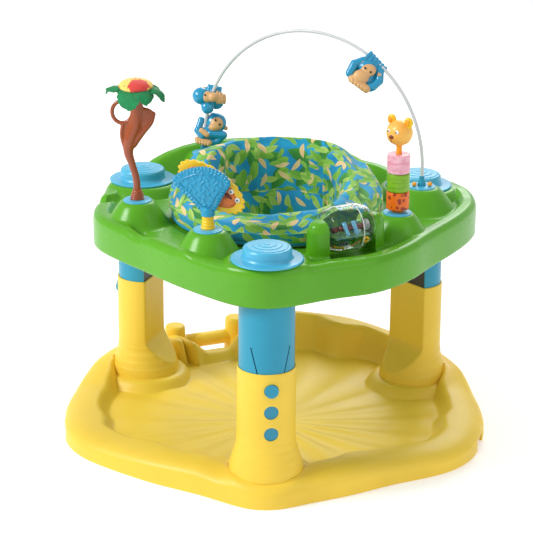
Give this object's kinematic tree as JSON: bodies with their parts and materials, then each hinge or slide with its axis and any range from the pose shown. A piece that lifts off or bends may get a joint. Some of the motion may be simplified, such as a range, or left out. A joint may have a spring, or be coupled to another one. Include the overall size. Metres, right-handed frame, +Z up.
{
  "type": "activity jumper",
  "caption": "Free-standing play saucer for a baby: turning cloth seat in a toy tray that bounces on sprung, height-adjustable legs over a dished base.",
  "frame": {"origin": "on the floor at the centre of the circle on which the three legs stand", "axes": "+Z up, -Y towards the front leg, +X to the right seen from the front"},
  "size_m": [0.7368, 0.7102, 0.683],
  "materials": {
    "yellow_plastic": "satin",
    "green_plastic": "glossy",
    "blue_plastic": "glossy",
    "black_plastic": "matt",
    "steel": "bright",
    "white_plastic": "satin",
    "leaf_fabric": "printed cloth",
    "brown_rubber": "satin",
    "green_cloth": "plain cloth",
    "flower_cloth": "printed cloth",
    "toy_yellow": "glossy",
    "toy_orange": "glossy",
    "toy_green": "glossy",
    "toy_pink": "glossy",
    "toy_blue": "glossy",
    "clear_plastic": "clear"
  },
  "bodies": {
    "base": {"base": "yellow_plastic", "carry_handle": "yellow_plastic", "foot_pins": "steel", "sleeve_front": "yellow_plastic", "sleeve_right": "yellow_plastic", "sleeve_left": "yellow_plastic", "sleeve_screws": "steel"},
    "foot_left": {"foot_left": "yellow_plastic"},
    "foot_right": {"foot_right": "yellow_plastic"},
    "foot_rear": {"foot_rear": "yellow_plastic"},
    "legs": {"upper_leg_front": "blue_plastic", "upper_leg_right": "blue_plastic", "upper_leg_left": "blue_plastic", "spring_tube_front": "black_plastic", "spring_tube_right": "black_plastic", "spring_tube_left": "black_plastic", "spring_front": "steel", "spring_right": "steel", "spring_left": "steel"},
    "button_front": {"button_front": "blue_plastic"},
    "button_right": {"button_right": "blue_plastic"},
    "button_left": {"button_left": "blue_plastic"},
    "tray": {"tray": "green_plastic", "cap_front": "blue_plastic", "cap_right": "blue_plastic", "cap_left": "blue_plastic", "socket_palm": "blue_plastic", "socket_fan": "blue_plastic", "socket_bear": "blue_plastic", "socket_arch_right": "blue_plastic", "socket_arch_left": "blue_plastic", "arch_rod": "white_plastic", "arch_beads": "toy_orange", "bear_post": "toy_yellow"},
    "seat": {"seat_ring": "white_plastic", "seat_keeper": "white_plastic", "seat_pad": "leaf_fabric"},
    "palm": {"palm_stalk": "brown_rubber", "palm_leaves": "green_cloth", "palm_flower": "flower_cloth"},
    "fan": {"fan_post": "toy_yellow", "fan_panel": "toy_blue", "fan_pin": "toy_yellow"},
    "fan_bird": {"fan_bird": "toy_orange"},
    "ring_orange": {"ring_orange": "toy_orange"},
    "ring_green": {"ring_green": "toy_green"},
    "ring_pink": {"ring_pink": "toy_pink"},
    "bear_head": {"bear_head": "toy_yellow"},
    "drum": {"drum_barrel": "clear_plastic", "drum_axles": "white_plastic", "drum_scene": "toy_blue", "drum_beads": "toy_orange"},
    "monkey_low": {"monkey_low": "toy_blue"},
    "monkey_high": {"monkey_high": "toy_blue"},
    "monkey_far": {"monkey_far": "toy_blue"}
  },
  "joints": [
    {"name": "foot_left_swing", "type": "hinge", "parent": "base", "child": "foot_left", "pos_m": [-0.3494, -0.07245, 0.006], "axis": [0, 0, -1], "range_deg": [0, 180]},
    {"name": "foot_right_swing", "type": "hinge", "parent": "base", "child": "foot_right", "pos_m": [0.3445, -0.08775, 0.006], "axis": [0, 0, -1], "range_deg": [0, 180]},
    {"name": "foot_rear_swing", "type": "hinge", "parent": "base", "child": "foot_rear", "pos_m": [0.008, 0.33423, 0.006], "axis": [0, 0, -1], "range_deg": [0, 180]},
    {"name": "height_adjust", "type": "slide", "parent": "base", "child": "legs", "axis": [0, 0, 1], "range_m": [-0.076, 0], "deforming": ["button_front", "button_right", "button_left"]},
    {"name": "button_front_press", "type": "hinge", "parent": "legs", "child": "button_front", "pos_m": [0.01012, -0.32985, 0.268], "axis": [0.9744, 0.225, 0], "range_deg": [0, 4.9], "stiffness_Nm_per_rad": 1.5},
    {"name": "button_right_press", "type": "hinge", "parent": "legs", "child": "button_right", "pos_m": [0.28059, 0.17369, 0.268], "axis": [-0.682, 0.7314, 0], "range_deg": [0, 4.9], "stiffness_Nm_per_rad": 1.5},
    {"name": "button_left_press", "type": "hinge", "parent": "legs", "child": "button_left", "pos_m": [-0.29072, 0.15616, 0.268], "axis": [-0.2924, -0.9563, 0], "range_deg": [0, 4.9], "stiffness_Nm_per_rad": 1.5},
    {"name": "bounce", "type": "slide", "parent": "legs", "child": "tray", "axis": [0, 0, 1], "range_m": [-0.025, 0], "stiffness_N_per_m": 4000, "springref_m": 0.016, "deforming": ["spring_front", "spring_right", "spring_left"]},
    {"name": "seat_turn", "type": "hinge", "parent": "tray", "child": "seat", "pos_m": [0, 0, 0.389], "axis": [0, 0, 1], "continuous": true},
    {"name": "palm_turn", "type": "hinge", "parent": "tray", "child": "palm", "pos_m": [-0.234, -0.058, 0.431], "axis": [0, 0, 1], "continuous": true},
    {"name": "fan_turn", "type": "hinge", "parent": "tray", "child": "fan", "pos_m": [-0.101, -0.211, 0.431], "axis": [0, 0, 1], "continuous": true},
    {"name": "bird_swing", "type": "hinge", "parent": "fan", "child": "fan_bird", "pos_m": [-0.10682, -0.20955, 0.493], "axis": [-0.2419, -0.9703, 0], "range_deg": [-35, 35]},
    {"name": "ring_orange_turn", "type": "hinge", "parent": "tray", "child": "ring_orange", "pos_m": [0.208, -0.096, 0.45], "axis": [0, 0, 1], "continuous": true},
    {"name": "ring_green_turn", "type": "hinge", "parent": "tray", "child": "ring_green", "pos_m": [0.208, -0.096, 0.482], "axis": [0, 0, 1], "continuous": true},
    {"name": "ring_pink_turn", "type": "hinge", "parent": "tray", "child": "ring_pink", "pos_m": [0.208, -0.096, 0.515], "axis": [0, 0, 1], "continuous": true},
    {"name": "bear_head_turn", "type": "hinge", "parent": "tray", "child": "bear_head", "pos_m": [0.208, -0.096, 0.568], "axis": [0, 0, 1], "continuous": true},
    {"name": "drum_spin", "type": "hinge", "parent": "tray", "child": "drum", "pos_m": [0.12309, -0.18954, 0.43], "axis": [0.8387, 0.5446, 0], "continuous": true},
    {"name": "monkey_high_slide", "type": "hinge", "parent": "tray", "child": "monkey_high", "pos_m": [0.054, 0.1515, 0.462], "axis": [0.4258, 0.9048, 0], "range_deg": [0, 46]},
    {"name": "monkey_far_slide", "type": "hinge", "parent": "tray", "child": "monkey_far", "pos_m": [0.054, 0.1515, 0.462], "axis": [0.4258, 0.9048, 0], "range_deg": [-42, 38]},
    {"name": "monkey_low_turn", "type": "hinge", "parent": "tray", "child": "monkey_low", "pos_m": [-0.14313, 0.24426, 0.46961], "axis": [0.0316, -0.0149, 0.9994], "continuous": true}
  ]
}
